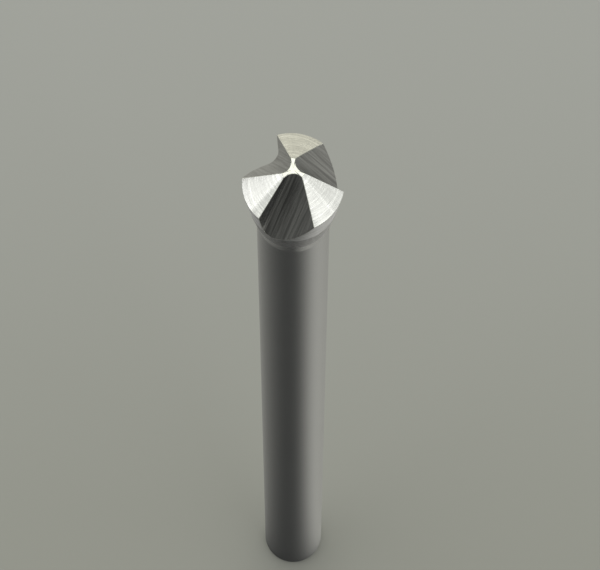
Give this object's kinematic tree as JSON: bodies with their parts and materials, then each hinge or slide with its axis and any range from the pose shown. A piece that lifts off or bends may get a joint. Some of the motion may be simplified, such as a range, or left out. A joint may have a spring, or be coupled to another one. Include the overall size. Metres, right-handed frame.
{
  "type": "countersink bit",
  "caption": "Long-shank countersink bit: a ninety-degree point with relieved cutting lands, ground in one piece on a plain round shank.",
  "frame": {"origin": "centre of the flat end face of the shank, the end that goes into the chuck", "axes": "+Z along the axis of rotation, from the shank end up to the flat tip; +X along the outer end of one cutting edge"},
  "size_m": [0.0082, 0.0079, 0.13],
  "materials": {
    "ground_steel": "ground high-speed steel, satin on the shank and brighter on the lands"
  },
  "bodies": {
    "root": {"countersink_bit": "ground_steel"}
  },
  "joints": []
}
